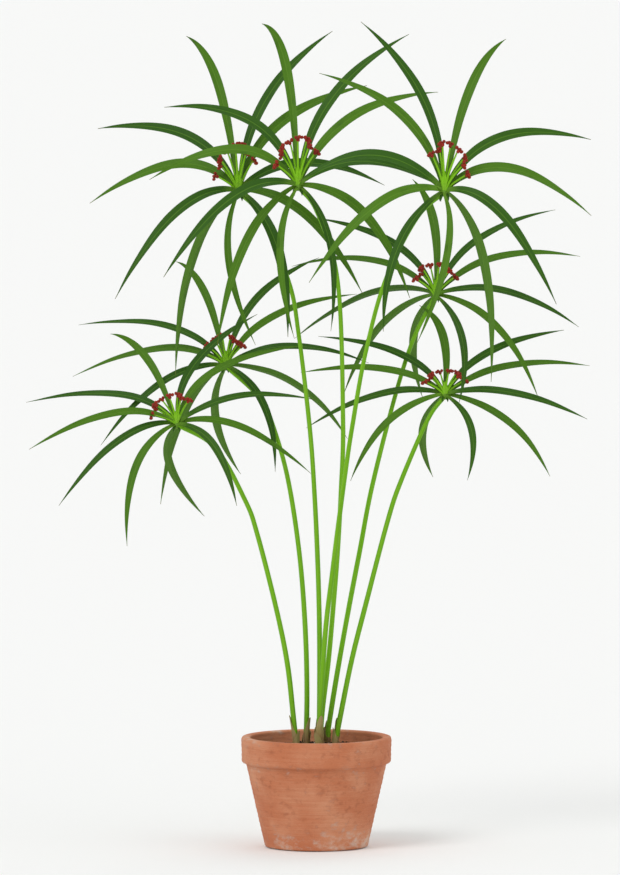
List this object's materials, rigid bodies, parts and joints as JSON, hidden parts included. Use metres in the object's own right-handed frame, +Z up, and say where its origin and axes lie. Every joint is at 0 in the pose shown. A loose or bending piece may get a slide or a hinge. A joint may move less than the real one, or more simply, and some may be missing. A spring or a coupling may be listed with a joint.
{
  "type": "potted papyrus plant",
  "caption": "Umbrella papyrus in a plain clay pot: slender green stems, each topped by a whorl of long arching leaves and a small fan of red-brown flower spikelets.",
  "frame": {"origin": "middle of the pot's flat underside", "axes": "+Z up the stems, +X to the right and -Y to the front as the plant is seen"},
  "size_m": [0.6152, 0.3756, 0.903],
  "materials": {
    "clay": "unglazed",
    "earth": "loose potting soil of peat and bark",
    "stem_green": "satin, living stem",
    "leaf_green": "satin, living leaf",
    "spikelet_red": "dry scales on green rays"
  },
  "bodies": {
    "root": {"pot": "clay", "soil": "earth", "stem_1": "stem_green", "stem_2": "stem_green", "stem_3": "stem_green", "stem_4": "stem_green", "stem_5": "stem_green", "stem_6": "stem_green", "stem_7": "stem_green", "leaf_crown_1": "leaf_green", "leaf_crown_2": "leaf_green", "leaf_crown_3": "leaf_green", "leaf_crown_4": "leaf_green", "leaf_crown_5": "leaf_green", "leaf_crown_6": "leaf_green", "leaf_crown_7": "leaf_green", "flower_head_1": "spikelet_red", "flower_head_2": "spikelet_red", "flower_head_3": "spikelet_red", "flower_head_4": "spikelet_red", "flower_head_5": "spikelet_red", "flower_head_6": "spikelet_red", "flower_head_7": "spikelet_red"}
  },
  "joints": []
}
